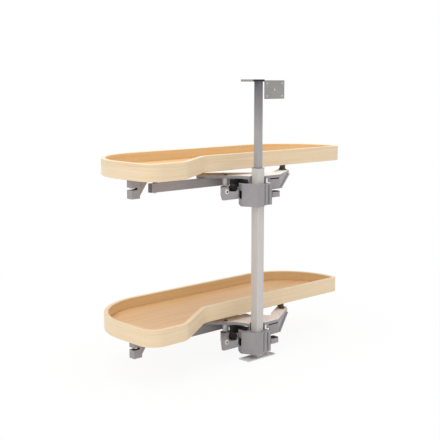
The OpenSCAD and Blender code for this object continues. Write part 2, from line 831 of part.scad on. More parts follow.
module floor_shape()
  difference() {
    linear_extrude(floor_t)
      polygon(tray_outline(rim_t + floor_fit));
    tray_screw_holes();
  }

module tray_screw_holes()
  for (p = tray_screw_places)
    translate([p[0], p[1], 0])
      rod(screw_d + 2 * screw_fit, -cut, screw_grip + cut);

// C-shaped bracket, open to the left, with a rib along its right side
module lobe_bracket_shape()
  difference() {
    union() {
      span([lobe_left, lobe_left + lobe_jaw_w],
        [lobe_bracket_y, lobe_bracket_y + lobe_bracket_d], [-lobe_bracket_h, 0]);
      translate([0, lobe_bracket_y + (lobe_bracket_d + lobe_rib_t) / 2, 0])
        rotate([90, 0, 0])
          linear_extrude(lobe_rib_t)
            polygon([
              [lobe_left + lobe_jaw_w - cut, 0],
              [lobe_left + lobe_jaw_w - cut, -lobe_bracket_h],
              [lobe_left + lobe_jaw_w, -lobe_bracket_h],
              [lobe_left + lobe_jaw_w + lobe_rib_l, 0]
            ]);
    }
    span([lobe_left - cut, lobe_left + lobe_slot_l],
      [lobe_bracket_y - cut, lobe_bracket_y + lobe_bracket_d + cut],
      [-lobe_slot_z - lobe_slot_h, -lobe_slot_z]);
    for (y = lobe_screw_y)
      translate([lobe_screw_x, y, 0])
        rod(screw_d + 2 * screw_fit, -lobe_slot_z - cut, cut);
  }

// ---- the two tiers ----

module lower_tier() translate([0, 0, lower_tray_z]) children();
module upper_tier() translate([0, 0, upper_tray_z]) children();

module lower_hub() color(zinc) lower_tier() hub_shape();
module lower_clamp_screws() color(steel) lower_tier() clamp_screws_shape();
module lower_stop_bumper() color(rubber) lower_tier() stop_bumper_shape();
module lower_washer() color(nylon) lower_tier() washer_shape();
module lower_housing() color(zinc) lower_tier() housing_shape();
module lower_damper() color(rubber) lower_tier() damper_shape();
module lower_housing_screw() color(steel) lower_tier() housing_screw_shape();
module lower_bearing_block() color(rubber) lower_tier() bearing_block_shape();
module lower_plunger() color(nylon) lower_tier() plunger_shape();
module lower_carrier_plate() color(plate_white) lower_tier() carrier_plate_shape();
module lower_turning_collar() color(zinc) lower_tier() turning_collar_shape();
module lower_gusset() color(zinc) lower_tier() gusset_shape();
module lower_gusset_strip() color(rubber) lower_tier() gusset_strip_shape();
module lower_catch_pin() color(steel) lower_tier() catch_pin_shape();
module lower_pin_screw() color(rubber) lower_tier() pin_screw_shape();
module lower_rail() color(zinc) lower_tier() rail_shape();
module lower_rail_plugs() color(rubber) lower_tier() rail_plugs_shape();
module lower_rail_screws() color(rubber) lower_tier() rail_screws_shape();
module lower_rail_foot() color(nylon) lower_tier() rail_foot_shape();
module lower_spacers() color(nylon) lower_tier() spacers_shape();
module lower_tray_screws() color(steel) lower_tier() tray_screws_shape();
module lower_rim() color(oak) lower_tier() rim_shape();
module lower_floor() color(board) lower_tier() floor_shape();
module lower_lobe_bracket() color(zinc) lower_tier() lobe_bracket_shape();

module upper_hub() color(zinc) upper_tier() hub_shape();
module upper_clamp_screws() color(steel) upper_tier() clamp_screws_shape();
module upper_stop_bumper() color(rubber) upper_tier() stop_bumper_shape();
module upper_washer() color(nylon) upper_tier() washer_shape();
module upper_housing() color(zinc) upper_tier() housing_shape();
module upper_damper() color(rubber) upper_tier() damper_shape();
module upper_housing_screw() color(steel) upper_tier() housing_screw_shape();
module upper_bearing_block() color(rubber) upper_tier() bearing_block_shape();
module upper_plunger() color(nylon) upper_tier() plunger_shape();
module upper_carrier_plate() color(plate_white) upper_tier() carrier_plate_shape();
module upper_turning_collar() color(zinc) upper_tier() turning_collar_shape();
module upper_gusset() color(zinc) upper_tier() gusset_shape();
module upper_gusset_strip() color(rubber) upper_tier() gusset_strip_shape();
module upper_catch_pin() color(steel) upper_tier() catch_pin_shape();
module upper_pin_screw() color(rubber) upper_tier() pin_screw_shape();
module upper_rail() color(zinc) upper_tier() rail_shape();
module upper_rail_plugs() color(rubber) upper_tier() rail_plugs_shape();
module upper_rail_screws() color(rubber) upper_tier() rail_screws_shape();
module upper_rail_foot() color(nylon) upper_tier() rail_foot_shape();
module upper_spacers() color(nylon) upper_tier() spacers_shape();
module upper_tray_screws() color(steel) upper_tier() tray_screws_shape();
module upper_rim() color(oak) upper_tier() rim_shape();
module upper_floor() color(board) upper_tier() floor_shape();
module upper_lobe_bracket() color(zinc) upper_tier() lobe_bracket_shape();

base_plate();
post_outer_tube();
post_bush();
post_inner_tube();
inner_guide();
top_plate();
top_side_plate();
lower_hub();
lower_clamp_screws();
lower_stop_bumper();
lower_washer();
lower_housing();
lower_damper();
lower_housing_screw();
lower_bearing_block();
lower_plunger();
lower_carrier_plate();
lower_turning_collar();
lower_gusset();
lower_gusset_strip();
lower_catch_pin();
lower_pin_screw();
lower_rail();
lower_rail_plugs();
lower_rail_screws();
lower_rail_foot();
lower_spacers();
lower_tray_screws();
lower_rim();
lower_floor();
lower_lobe_bracket();
upper_hub();
upper_clamp_screws();
upper_stop_bumper();
upper_washer();
upper_housing();
upper_damper();
upper_housing_screw();
upper_bearing_block();
upper_plunger();
upper_carrier_plate();
upper_turning_collar();
upper_gusset();
upper_gusset_strip();
upper_catch_pin();
upper_pin_screw();
upper_rail();
upper_rail_plugs();
upper_rail_screws();
upper_rail_foot();
upper_spacers();
upper_tray_screws();
upper_rim();
upper_floor();
upper_lobe_bracket();
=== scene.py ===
"""Swing-out corner fitting: a telescopic square post with two wing-shaped trays.

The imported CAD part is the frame. Each node that shows gets a finished piece with worked edges
and a procedural material; the hidden and the small plain ones keep their mesh and get a
material only. All lengths are in metres, in the frame of the CAD part.
"""

import json
import math

import bmesh
import bpy
from mathutils import Matrix, Vector


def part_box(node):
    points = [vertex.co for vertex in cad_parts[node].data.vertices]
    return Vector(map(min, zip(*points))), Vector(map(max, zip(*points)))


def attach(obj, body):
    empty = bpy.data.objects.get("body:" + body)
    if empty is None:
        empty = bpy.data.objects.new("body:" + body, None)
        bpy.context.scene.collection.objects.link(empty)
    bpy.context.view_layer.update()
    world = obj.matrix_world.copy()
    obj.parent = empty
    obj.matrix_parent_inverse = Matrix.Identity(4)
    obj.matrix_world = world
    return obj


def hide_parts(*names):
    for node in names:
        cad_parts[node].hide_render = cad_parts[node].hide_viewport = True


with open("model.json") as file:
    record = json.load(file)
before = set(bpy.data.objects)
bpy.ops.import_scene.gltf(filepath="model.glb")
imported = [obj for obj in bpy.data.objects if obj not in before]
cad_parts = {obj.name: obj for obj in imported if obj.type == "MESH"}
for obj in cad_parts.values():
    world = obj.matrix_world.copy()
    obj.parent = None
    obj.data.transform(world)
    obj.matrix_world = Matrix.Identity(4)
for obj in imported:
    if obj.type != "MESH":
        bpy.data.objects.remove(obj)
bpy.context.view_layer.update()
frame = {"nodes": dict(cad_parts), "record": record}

MM = 0.001
# Height of the underside of each tray
TIERS = {"lower": 0.111, "upper": 0.524}

# The tray outline, as in the part's source
TRAY_RIGHT = 427.5 * MM
TRAY_LEFT = 407.5 * MM
TRAY_FRONT = 62 * MM
TRAY_BACK = 297 * MM
LOBE_FRONT = -35.5 * MM
RIGHT_END_R = 184 * MM
BACK_LEFT_R = 203 * MM
LOBE_CORNER_R = 46 * MM
FRONT_RIGHT_R = 15 * MM
BEND_R = 61.6 * MM
BEND_ANGLE = 33
BEND_START_X = -308.3 * MM
RIM_H = 44 * MM
RIM_T = 12 * MM
FLOOR_T = 16 * MM
FLOOR_FIT = 0.3 * MM
RIM_EDGE_R = 1.6 * MM
FLOOR_EDGE_R = 0.5 * MM

# Post: two square tubes, with the heights of their ends
OUTER_TUBE_W = 25.4 * MM
OUTER_TUBE_Z = (3 * MM, 531 * MM)
INNER_TUBE_W = 17.5 * MM
INNER_TUBE_Z = (333.5 * MM, 763.5 * MM)
TUBE_WALL = 1.5 * MM
TUBE_CORNER_R = 1.8 * MM
BORE_CORNER_R = 0.4 * MM

# How far the painted shade under the top plate reaches down the inner tube
PAINTED_SHADE_REACH = 140 * MM

# Drop from the underside of a tray to the top of its carrier plate
PLATE_DROP = 15 * MM

# Screws. Every list of places in this file holds (x, y) in millimetres
SCREW_D = 4 * MM
SCREW_FIT = 0.2 * MM
HEAD_H = 2.6 * MM
SOCKET_WIDTH_SHARE = 0.42
SOCKET_DEPTH_SHARE = 0.6
RAIL_SCREW_L = 15.5 * MM
RAIL_SCREW_PLACES = [(-60, 115), (-20, 115)]
PIN_SCREW_D = 5 * MM
PIN_SCREW_L = 19.5 * MM
RING_HEAD_H = 2.5 * MM
RING_SOCKET_R = 3 * MM
RING_SOCKET_DEPTH = 1.8 * MM

# Spacers between a carrier plate and its tray
SPACER_D = 12 * MM
SPACER_FOOT_D = 17 * MM
SPACER_FOOT_H = 4 * MM
SPACER_EDGE = 0.6 * MM
SPACER_PLACES = [(175, 69), (187, 86), (54, 66), (-66, 160)]

# Catch pin: its place, its radii, and how far its steps lie below the tray
PIN_PLACE = (-45, 80)
PIN_R = 9.2 * MM
PIN_TIP_R = 4 * MM
PIN_TOP = 18 * MM
PIN_SHOULDER = 44.5 * MM
PIN_END = 56 * MM

# Slot behind the cheek of the hub: the cheek's two corners, then the slot's reach from the
# first corner towards the second, its reach into the casting and its drop below the tray
CHEEK_PLACES = [(-48, 13), (-43, 31)]
SLOT_ALONG = (1.9 * MM, 13.1 * MM)
SLOT_INTO = (0.5 * MM, 12.1 * MM)
SLOT_DROP = (52.9 * MM, 75.1 * MM)

# Slot of the bracket under the lobe: its reach from the left, and its drop below the tray
LOBE_SLOT_ALONG = (1 * MM, 18.1 * MM)
LOBE_SLOT_DROP = (22.4 * MM, 28.6 * MM)

# The holes of the upright plate lie further than this from its edges
HOLE_INSET = 2 * MM

# Radius that the making of each softened node leaves on its edges
EDGE_R = {
    "base_plate": 0.6 * MM,
    "post_bush": 0.3 * MM,
    "top_plate": 0.8 * MM,
    "top_side_plate": 0.5 * MM,
    "carrier_plate": 0.7 * MM,
    "hub": 1.4 * MM,
    "lobe_bracket": 0.8 * MM,
    "stop_bumper": 0.4 * MM,
    "housing": 1.4 * MM,
    "bearing_block": 1.0 * MM,
    "turning_collar": 0.5 * MM,
    "gusset": 0.5 * MM,
    "gusset_strip": 0.3 * MM,
    "rail": 0.6 * MM,
    "rail_plugs": 0.5 * MM,
}

# Faces that meet at more than SHARP have a real edge, and at less than FLAT they are one face
SHARP = math.radians(32)
FLAT = math.radians(0.5)
# Points closer than this are one point
SAME_POINT = 0.001 * MM
# A face is turned away from an axis when its normal has less than this along it
TURNED_AWAY = 0.5


# ---- colours, nodes and materials ----

# Depth of the pores under the lacquer, of the grit in a coat and of a tube's die lines
PORE_DEPTH = 0.12 * MM
GRIT_DEPTH = 0.03 * MM
DIE_LINE_DEPTH = 0.02 * MM
# Width of a patch in the slow drift of tone of a coat
DRIFT_MM = 45.45
# Length of a die line along X, Y and Z; a real one is finer than the render can show
DIE_LINE_MM = (1.111, 1.111, 166.7)


def linear(hex_colour):
    """Turns an sRGB hex colour into linear RGBA."""
    channels = [int(hex_colour[i : i + 2], 16) / 255 for i in (1, 3, 5)]
    curved = [c / 12.92 if c <= 0.04045 else ((c + 0.055) / 1.055) ** 2.4 for c in channels]
    return (*curved, 1)


def add(tree, kind, inputs=None, **settings):
    """Adds a node with its settings, and fills or links its inputs.

    A Mix node has several sockets of one name, so its sockets are given by number: input 0
    is the share, 2 and 3 are the two values, and 6 and 7 the two colours.
    """
    node = tree.nodes.new(kind)
    for name, value in settings.items():
        setattr(node, name, value)
    for key, value in (inputs or {}).items():
        if isinstance(value, bpy.types.NodeSocket):
            tree.links.new(value, node.inputs[key])
        else:
            node.inputs[key].default_value = value
    return node


def ramp(node, stops):
    """Sets the stops of a colour ramp: (place, hex colour) pairs."""
    elements = node.color_ramp.elements
    while len(elements) < len(stops):
        elements.new(0.5)
    for element, (place, colour) in zip(elements, stops):
        element.position = place
        element.color = linear(colour)
    return node


def new_material(name, roughness, metallic=0.0, coat=0.0):
    """A material with a plain shader, and its tree and shader to build on."""
    material = bpy.data.materials.new(name)
    material.use_nodes = True
    tree = material.node_tree
    shader = tree.nodes["Principled BSDF"]
    shader.inputs["Roughness"].default_value = roughness
    shader.inputs["Metallic"].default_value = metallic
    shader.inputs["Coat Weight"].default_value = coat
    return material, tree, shader


def bump_from(tree, shader, height, distance, strength):
    """Gives the shader a bump of the given depth."""
    bump = add(
        tree,
        "ShaderNodeBump",
        {"Height": height, "Distance": distance, "Strength": strength},
    )
    tree.links.new(bump.outputs["Normal"], shader.inputs["Normal"])


def wood(name, stops, grain_mm, roughness):
    """Lacquered wood: broad grain lines with finer ones in them, and pores along them.

    grain_mm gives the length of one patch of the broad grain along X, Y and Z.
    """
    material, tree, shader = new_material(name, roughness, coat=0.15)
    shader.inputs["Coat Roughness"].default_value = 0.3
    place = add(tree, "ShaderNodeTexCoord").outputs["Object"]
    patches = [1 / (length * MM) for length in grain_mm]
    stretched = add(tree, "ShaderNodeMapping", {"Vector": place, "Scale": patches})
    broad = add(
        tree,
        "ShaderNodeTexNoise",
        {"Vector": stretched.outputs[0], "Scale": 1.0, "Detail": 4.0, "Distortion": 0.6},
    )
    fine = add(
        tree,
        "ShaderNodeTexNoise",
        {"Vector": stretched.outputs[0], "Scale": 4.5, "Detail": 6.0, "Roughness": 0.65},
    )
    mixed = add(
        tree,
        "ShaderNodeMix",
        {0: 0.42, 2: broad.outputs["Fac"], 3: fine.outputs["Fac"]},
    )
    colour = ramp(add(tree, "ShaderNodeValToRGB", {"Fac": mixed.outputs[0]}), stops)
    tree.links.new(colour.outputs["Color"], shader.inputs["Base Color"])
    bump_from(tree, shader, fine.outputs["Fac"], PORE_DEPTH, 0.35)
    return material


def coated(name, dark, light, roughness, grit_mm, metallic=0.0):
    """Painted, plated or moulded surface: a slow drift of tone over a fine grit."""
    material, tree, shader = new_material(name, roughness, metallic)
    place = add(tree, "ShaderNodeTexCoord").outputs["Object"]
    drift = add(
        tree,
        "ShaderNodeTexNoise",
        {"Vector": place, "Scale": 1 / (DRIFT_MM * MM), "Detail": 3.0},
    )
    grit = add(
        tree,
        "ShaderNodeTexNoise",
        {"Vector": place, "Scale": 1 / (grit_mm * MM), "Detail": 2.0},
    )
    mixed = add(
        tree, "ShaderNodeMix", {0: 0.35, 2: drift.outputs["Fac"], 3: grit.outputs["Fac"]}
    )
    stops = [(0.3, dark), (0.7, light)]
    colour = ramp(add(tree, "ShaderNodeValToRGB", {"Fac": mixed.outputs[0]}), stops)
    tree.links.new(colour.outputs["Color"], shader.inputs["Base Color"])
    bump_from(tree, shader, grit.outputs["Fac"], GRIT_DEPTH, 0.4)
    return material


def drawn_steel(name, dark, light, roughness, metallic, shade_colour=None):
    """Cold drawn steel: die lines run up and down the tube.

    The last argument is a colour of painted shade that darkens the tube towards its top, under
    the top plate.
    """
    material, tree, shader = new_material(name, roughness, metallic)
    place = add(tree, "ShaderNodeTexCoord").outputs["Object"]
    lines = add(
        tree,
        "ShaderNodeMapping",
        {"Vector": place, "Scale": [1 / (length * MM) for length in DIE_LINE_MM]},
    )
    streaks = add(
        tree, "ShaderNodeTexNoise", {"Vector": lines.outputs[0], "Scale": 1.0, "Detail": 3.0}
    )
    stops = [(0.3, dark), (0.7, light)]
    colour = ramp(add(tree, "ShaderNodeValToRGB", {"Fac": streaks.outputs["Fac"]}), stops)
    steel = colour.outputs["Color"]
    # Painted shade: the colour darkens the tube over its top reach, under the top plate
    if shade_colour:
        height = add(tree, "ShaderNodeSeparateXYZ", {"Vector": place}).outputs["Z"]
        tube_top_z = INNER_TUBE_Z[1]
        near_top_plate = add(
            tree,
            "ShaderNodeMapRange",
            {"Value": height, "From Min": tube_top_z - PAINTED_SHADE_REACH, "From Max": tube_top_z},
        )
        shaded_steel = add(
            tree,
            "ShaderNodeMix",
            {0: near_top_plate.outputs[0], 6: steel, 7: linear(shade_colour)},
            data_type="RGBA",
        )
        steel = shaded_steel.outputs[2]
    tree.links.new(steel, shader.inputs["Base Color"])
    bump_from(tree, shader, streaks.outputs["Fac"], DIE_LINE_DEPTH, 0.3)
    return material


# Bent beech plywood under clear satin lacquer: the grain runs round the tray in fine lines
RIM_WOOD = wood(
    "lacquered_bent_plywood",
    [(0.25, "#E0C59C"), (0.5, "#ECD4AF"), (0.75, "#F4E1C4")],
    (333.3, 333.3, 6.25),
    0.42,
)
# The inside of the rim: the same plywood in a warmer tone, as painted light: the warm bounce
# between the wooden walls and floor
RIM_INSIDE = wood(
    "plywood_painted_bounce_light",
    [(0.25, "#D9B47C"), (0.5, "#E6C491"), (0.75, "#EED1A4")],
    (333.3, 333.3, 6.25),
    0.42,
)
# Floor board under a wood grain foil: straight grain along the tray, a softer gloss
FLOOR_WOOD = wood(
    "grain_foil_board",
    [(0.25, "#D6A672"), (0.5, "#E4BA86"), (0.75, "#EECA99")],
    (250, 11.11, 11.11),
    0.5,
)
# Cold drawn steel tube, satin nickel plated: soft streaks along the tube
TUBE_STEEL = drawn_steel("satin_plated_tube", "#C4C0BD", "#D6D2CF", 0.4, 0.1)
# Cold drawn steel tube with a thin oiled zinc layer: greyer, with painted shade darkening it
# towards the top plate
INNER_STEEL = drawn_steel("oiled_zinc_tube_painted_shade", "#9F9EA0", "#B1B0B1", 0.4, 0.3, "#66646A")
# Pressed steel, galvanised: dull, faintly clouded
GALVANISED = coated("galvanised_steel", "#8F8D8A", "#A19E9B", 0.5, 1.5, 0.2)
# Pressed steel, pale and smooth: a lighter copy of the galvanised steel. On the base plate its
# lightness is painted light; the hole walls of the upright plate take it too
PALE_STEEL = coated("pale_steel", "#D8D5D3", "#E6E3E1", 0.4, 1.5, 0.1)
# Die-cast zinc, sprayed grey: even satin with a fine orange peel. On the carrier plates this
# grey is painted shade on their edges and undersides
HUB_PAINT_AND_PLATE_SHADE = coated("sprayed_zinc_and_plate_shade", "#959194", "#A5A1A4", 0.45, 0.8)
# Pressed steel plate, powder coated near white: even, with a soft sheen. On the carrier plates
# it covers only the tops, whose near white is partly a painted highlight
CARRIER_WHITE = coated("white_plate_and_lit_top", "#F1E9E4", "#FBF4F0", 0.5, 1.0)
# Moulded rubber: matt black
RUBBER = coated("moulded_rubber", "#090807", "#100F0E", 0.85, 0.6)
# Injection moulded plastic, black: faintly textured from the mould. It also paints the shade in
# the slots of the hub and the lobe bracket, and a dark reflection on the top plate's front edge
BLACK_PLASTIC_AND_PAINTED_SHADE = coated("black_plastic_and_painted_shade", "#0C0B0B", "#161414", 0.55, 0.7)
# Injection moulded plastic, grey: the same texture in a lighter tone
GREY_PLASTIC = coated("moulded_grey_plastic", "#5E595C", "#6C676A", 0.5, 0.7)
# Injection moulded nylon, dark brown: a little mottled, dull
NYLON = coated("moulded_nylon", "#3E3430", "#54463F", 0.55, 0.9)
# Turned steel, bright zinc plated: pale, with a tight highlight
BRIGHT_ZINC = coated("bright_zinc_plating", "#CFCCCA", "#E0DEDC", 0.35, 1.2, 0.3)
# Steel screws, black zinc plated: dark satin. It also paints the shade in the socket of the
# ring screw
DARK_ZINC_AND_SOCKET_SHADE = coated("black_zinc_and_socket_shade", "#3B332E", "#4E443D", 0.45, 0.8, 0.5)

FINISH = {
    "rim_wood": RIM_WOOD,
    "floor_board": FLOOR_WOOD,
    "tube_steel": TUBE_STEEL,
    "galvanised_steel": GALVANISED,
    "hub_casting": HUB_PAINT_AND_PLATE_SHADE,
    "carrier_paint": CARRIER_WHITE,
    "rubber": RUBBER,
    "black_plastic": BLACK_PLASTIC_AND_PAINTED_SHADE,
    "nylon": NYLON,
    "screw_steel": BRIGHT_ZINC,
    "dark_screw": DARK_ZINC_AND_SOCKET_SHADE,
}
SLOT_OF = {s["node"]: s["material_slot"] for s in frame["record"]["subparts"]}
# Nodes whose finish differs from the others in their slot
OWN_FINISH = {
    # The base plate's paler steel is painted light: a lit copy of the galvanised steel of its
    # slot
    "base_plate": PALE_STEEL,
    "post_inner_tube": INNER_STEEL,
    "lower_rail_screws": BRIGHT_ZINC,
    "upper_rail_screws": BRIGHT_ZINC,
    "lower_rail_foot": HUB_PAINT_AND_PLATE_SHADE,
    "upper_rail_foot": HUB_PAINT_AND_PLATE_SHADE,
    "lower_rail_plugs": GREY_PLASTIC,
    "upper_rail_plugs": GREY_PLASTIC,
}
BODY_OF = {
    node: body
    for body, nodes in frame["record"]["behaviour"]["bodies"].items()
    for node in nodes
}


# ---- pieces ----


def finish_piece(piece, node, bevel=0.0, segments=2):
    """Dresses a piece that stands for a CAD node: finish, edges, body and slot."""
    slot = SLOT_OF[node]
    mesh = piece.data
    mesh.materials.clear()
    mesh.materials.append(OWN_FINISH.get(node, FINISH[slot]))
    mesh.shade_smooth()
    mesh.set_sharp_from_angle(angle=SHARP)
    if bevel:
        edges = piece.modifiers.new("worked_edges", "BEVEL")
        edges.width = bevel
        edges.segments = segments
        edges.limit_method = "ANGLE"
        edges.angle_limit = SHARP
        edges.harden_normals = True
    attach(piece, BODY_OF[node])
    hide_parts(node)
    return piece


def piece_from(name, bm):
    """An object from a bmesh, with its faces turned outwards."""
    bmesh.ops.recalc_face_normals(bm, faces=bm.faces)
    mesh = bpy.data.meshes.new(name)
    bm.to_mesh(mesh)
    bm.free()
    piece = bpy.data.objects.new(name, mesh)
    bpy.context.collection.objects.link(piece)
    return piece


def softened(node):
    """A copy of a CAD node whose edges are rounded as its making leaves them."""
    bm = bmesh.new()
    bm.from_mesh(frame["nodes"][node].data)
    bmesh.ops.remove_doubles(bm, verts=bm.verts, dist=SAME_POINT)
    bmesh.ops.dissolve_limit(bm, angle_limit=FLAT, verts=bm.verts, edges=bm.edges)
    part = node.removeprefix("lower_").removeprefix("upper_")
    return finish_piece(piece_from(node + "_piece", bm), node, EDGE_R[part])


def second_finish(piece, material, chosen):
    """Gives the chosen faces of a piece another finish."""
    piece.data.materials.append(material)
    for face in piece.data.polygons:
        if chosen(face):
            face.material_index = 1


def carrier_plate(tier):
    """The carrier plate with painted light: near white on its lit top, and the grey paint as
    painted shade on its turned-down edge and underside.
    """
    piece = softened(tier + "_carrier_plate")
    # Painted shade: faces not turned up take the grey paint
    second_finish(piece, HUB_PAINT_AND_PLATE_SHADE, lambda face: face.normal.z < TURNED_AWAY)


def lobe_bracket(tier, tray_z):
    """The bracket under the lobe, with painted shade: black inside its slot."""
    piece = softened(tier + "_lobe_bracket")
    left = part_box(tier + "_lobe_bracket")[0][0]

    def in_slot(face):
        return (
            LOBE_SLOT_ALONG[0] < face.center.x - left < LOBE_SLOT_ALONG[1]
            and LOBE_SLOT_DROP[0] < tray_z - face.center.z < LOBE_SLOT_DROP[1]
            and abs(face.normal.y) < TURNED_AWAY
        )

    # Painted shade: the faces inside the slot are black
    second_finish(piece, BLACK_PLASTIC_AND_PAINTED_SHADE, in_slot)


def top_plates():
    """The top plate with a painted dark reflection on its front edge, and the upright plate
    with bright holes.
    """
    plate = softened("top_plate")
    # Faces turned to the front take the black finish: a painted dark reflection on the top
    # plate's front edge
    second_finish(plate, BLACK_PLASTIC_AND_PAINTED_SHADE, lambda face: face.normal.y < -TURNED_AWAY)
    upright = softened("top_side_plate")
    low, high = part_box("top_side_plate")

    def in_hole(face):
        inset = min(
            face.center.x - low[0],
            high[0] - face.center.x,
            face.center.z - low[2],
            high[2] - face.center.z,
        )
        return abs(face.normal.y) < TURNED_AWAY and inset > HOLE_INSET

    second_finish(upright, PALE_STEEL, in_hole)


def hub(tier, tray_z):
    """The hub casting, with painted shade: black in the slot behind its cheek."""
    piece = softened(tier + "_hub")
    corner, behind = (Vector(place) * MM for place in CHEEK_PLACES)
    along = (behind - corner).normalized()
    inwards = Vector((along.y, -along.x))

    def in_slot(face):
        from_corner = face.center.xy - corner
        return (
            SLOT_ALONG[0] < from_corner @ along < SLOT_ALONG[1]
            and SLOT_INTO[0] < from_corner @ inwards < SLOT_INTO[1]
            and SLOT_DROP[0] < tray_z - face.center.z < SLOT_DROP[1]
        )

    # Painted shade: the faces inside the slot are black
    second_finish(piece, BLACK_PLASTIC_AND_PAINTED_SHADE, in_slot)


def lathe(bm, profile, place=(0, 0), sides=48):
    """Turns (radius, height) points about an upright axis at the given place."""
    turns = [2 * math.pi * i / sides for i in range(sides)]
    rings = []
    for radius, height in profile:
        ring = [
            bm.verts.new(
                (place[0] + radius * math.cos(a), place[1] + radius * math.sin(a), height)
            )
            for a in (turns if radius else [0])
        ]
        rings.append(ring)
    for low, high in zip(rings, rings[1:]):
        for i in range(sides):
            j = (i + 1) % sides
            corners = [low[i % len(low)], low[j % len(low)]]
            corners += [high[j % len(high)], high[i % len(high)]]
            bm.faces.new(list(dict.fromkeys(corners)))


def facing_front(bm, place):
    """Lays an upright turned shape down so that its top faces the front, -Y."""
    laid = Matrix.Translation(place) @ Matrix.Rotation(math.radians(90), 4, "X")
    bmesh.ops.transform(bm, matrix=laid, verts=bm.verts)


def arc(x, y, r, start, end, step=2):
    """Points of an arc, both ends included, at most step degrees apart."""
    count = max(1, math.ceil(abs(end - start) / step))
    angles = [math.radians(start + (end - start) * i / count) for i in range(count + 1)]
    return [(x + r * math.cos(a), y + r * math.sin(a)) for a in angles]


def tray_outline(inset):
    """The tray's outline, moved inwards: anticlockwise from its front right corner.

    Each arc ends where the next straight edge starts. The small corner runs into the big
    right end, which starts one step further on so that no point comes twice.
    """
    right_x, right_y = TRAY_RIGHT - RIGHT_END_R, TRAY_BACK - RIGHT_END_R
    corner_dy = TRAY_FRONT + FRONT_RIGHT_R - right_y
    corner_dx = math.sqrt((RIGHT_END_R - FRONT_RIGHT_R) ** 2 - corner_dy**2)
    corner_angle = math.degrees(math.atan2(corner_dy, corner_dx))
    bend = math.radians(BEND_ANGLE)
    bend_rise = 2 * BEND_R * (1 - math.cos(bend))
    slope = (TRAY_FRONT - LOBE_FRONT - bend_rise) / math.sin(bend)
    bend_end_x = BEND_START_X + 2 * BEND_R * math.sin(bend) + slope * math.cos(bend)
    back_left = (-TRAY_LEFT + BACK_LEFT_R, TRAY_BACK - BACK_LEFT_R)
    lobe_corner = (-TRAY_LEFT + LOBE_CORNER_R, LOBE_FRONT + LOBE_CORNER_R)
    return (
        arc(
            right_x + corner_dx,
            TRAY_FRONT + FRONT_RIGHT_R,
            FRONT_RIGHT_R - inset,
            -90,
            corner_angle,
            8,
        )
        + arc(right_x, right_y, RIGHT_END_R - inset, corner_angle + 2, 90)
        + arc(*back_left, BACK_LEFT_R - inset, 90, 180)
        + arc(*lobe_corner, LOBE_CORNER_R - inset, 180, 270, 4)
        + arc(BEND_START_X, LOBE_FRONT + BEND_R, BEND_R - inset, 270, 270 + BEND_ANGLE, 3)
        + arc(bend_end_x, TRAY_FRONT - BEND_R, BEND_R + inset, 90 + BEND_ANGLE, 90, 3)
    )


def inside(outline, x, y):
    """Whether a point lies inside a closed outline: a ray to the right crosses it once."""
    within = False
    for (x0, y0), (x1, y1) in zip(outline, outline[1:] + outline[:1]):
        if (y0 > y) != (y1 > y) and x < x0 + (y - y0) * (x1 - x0) / (y1 - y0):
            within = not within
    return within


def band_tree():
    """Geometry Nodes that bend a flat band along a closed path."""
    tree = bpy.data.node_groups.new("bent_band", "GeometryNodeTree")
    face = tree.interface
    face.new_socket("Path", in_out="INPUT", socket_type="NodeSocketGeometry")
    face.new_socket("Thickness", in_out="INPUT", socket_type="NodeSocketFloat")
    face.new_socket("Height", in_out="INPUT", socket_type="NodeSocketFloat")
    face.new_socket("Finish", in_out="INPUT", socket_type="NodeSocketMaterial")
    face.new_socket("Band", in_out="OUTPUT", socket_type="NodeSocketGeometry")
    given = tree.nodes.new("NodeGroupInput").outputs
    section = add(
        tree,
        "GeometryNodeCurvePrimitiveQuadrilateral",
        {"Width": given["Thickness"], "Height": given["Height"]},
    )
    upright = add(
        tree, "GeometryNodeSetCurveNormal", {"Curve": given["Path"]}, mode="Z_UP"
    )
    band = add(
        tree,
        "GeometryNodeCurveToMesh",
        {"Curve": upright.outputs[0], "Profile Curve": section.outputs[0]},
    )
    real = add(tree, "GeometryNodeRealizeInstances", {"Geometry": band.outputs[0]})
    finished = add(
        tree,
        "GeometryNodeSetMaterial",
        {"Geometry": real.outputs[0], "Material": given["Finish"]},
    )
    add(tree, "NodeGroupOutput", {"Band": finished.outputs[0]})
    return tree


def repeat_tree():
    """Geometry Nodes that put one part at every point of a mesh."""
    tree = bpy.data.node_groups.new("part_at_points", "GeometryNodeTree")
    face = tree.interface
    face.new_socket("Places", in_out="INPUT", socket_type="NodeSocketGeometry")
    face.new_socket("Part", in_out="INPUT", socket_type="NodeSocketObject")
    face.new_socket("Finish", in_out="INPUT", socket_type="NodeSocketMaterial")
    face.new_socket("Parts", in_out="OUTPUT", socket_type="NodeSocketGeometry")
    given = tree.nodes.new("NodeGroupInput").outputs
    part = add(tree, "GeometryNodeObjectInfo", {"Object": given["Part"]})
    spread = add(
        tree,
        "GeometryNodeInstanceOnPoints",
        {"Points": given["Places"], "Instance": part.outputs["Geometry"]},
    )
    real = add(tree, "GeometryNodeRealizeInstances", {"Geometry": spread.outputs[0]})
    finished = add(
        tree,
        "GeometryNodeSetMaterial",
        {"Geometry": real.outputs[0], "Material": given["Finish"]},
    )
    add(tree, "NodeGroupOutput", {"Parts": finished.outputs[0]})
    return tree


def grown(name, source, tree, values):
    """Runs a Geometry Nodes tree on an object and keeps the result as a plain mesh."""
    grow = source.modifiers.new("grow", "NODES")
    grow.node_group = tree
    for item in tree.interface.items_tree:
        if item.in_out == "INPUT" and item.name in values:
            grow[item.identifier] = values[item.name]
    ready = source.evaluated_get(bpy.context.evaluated_depsgraph_get())
    mesh = bpy.data.meshes.new_from_object(ready)
    bpy.data.objects.remove(source)
    piece = bpy.data.objects.new(name, mesh)
    bpy.context.collection.objects.link(piece)
    return piece


BAND = band_tree()
REPEAT = repeat_tree()


